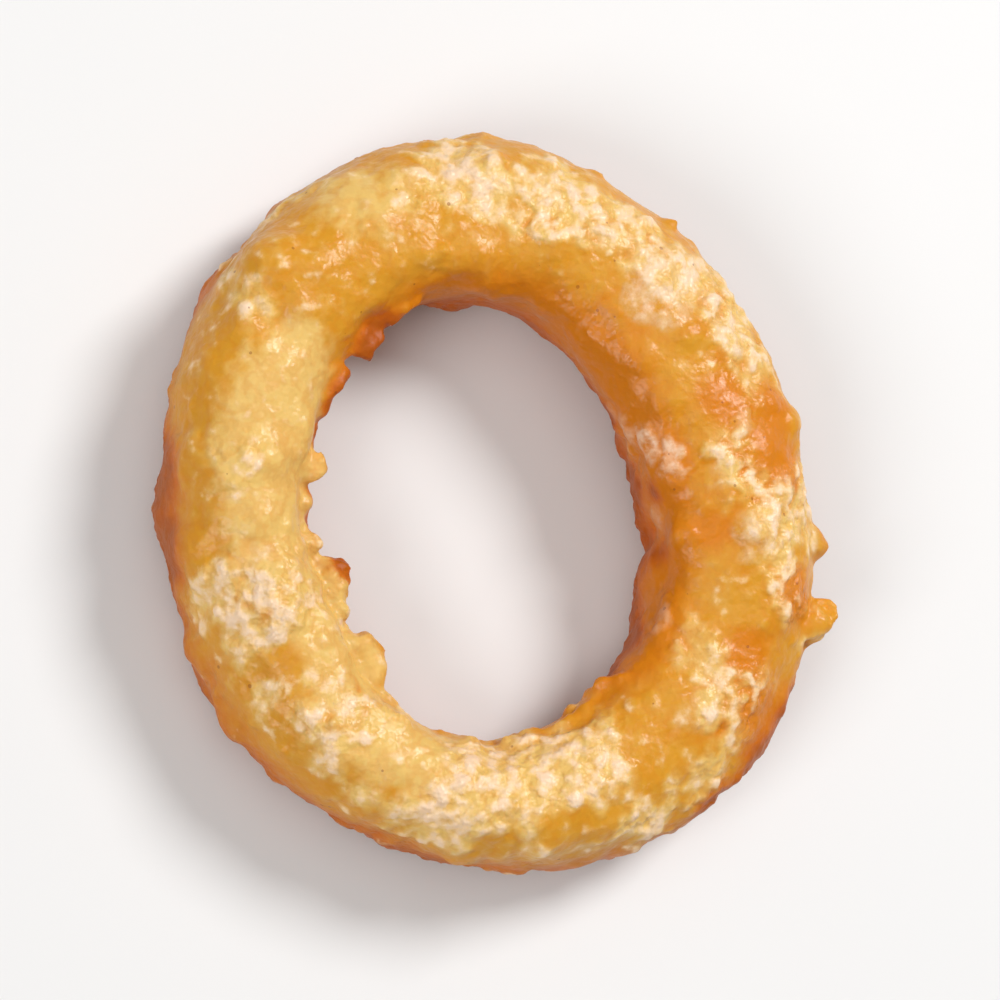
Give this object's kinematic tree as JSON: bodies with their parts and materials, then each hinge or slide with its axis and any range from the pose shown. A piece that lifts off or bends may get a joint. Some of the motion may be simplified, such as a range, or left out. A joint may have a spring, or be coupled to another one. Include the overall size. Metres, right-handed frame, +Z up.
{
  "type": "battered onion ring",
  "caption": "Deep-fried onion ring in a thick, craggy golden batter crust, lying flat, with an open hole through its middle.",
  "frame": {"origin": "on the surface that the ring rests on, under the middle of its bounding box", "axes": "+Z up through the hole, +Y along the ring's longer width"},
  "size_m": [0.0692, 0.0746, 0.0173],
  "materials": {
    "crust": "golden fried batter, slightly oily, rough with small glints"
  },
  "bodies": {
    "root": {"onion_ring": "crust"}
  },
  "joints": []
}
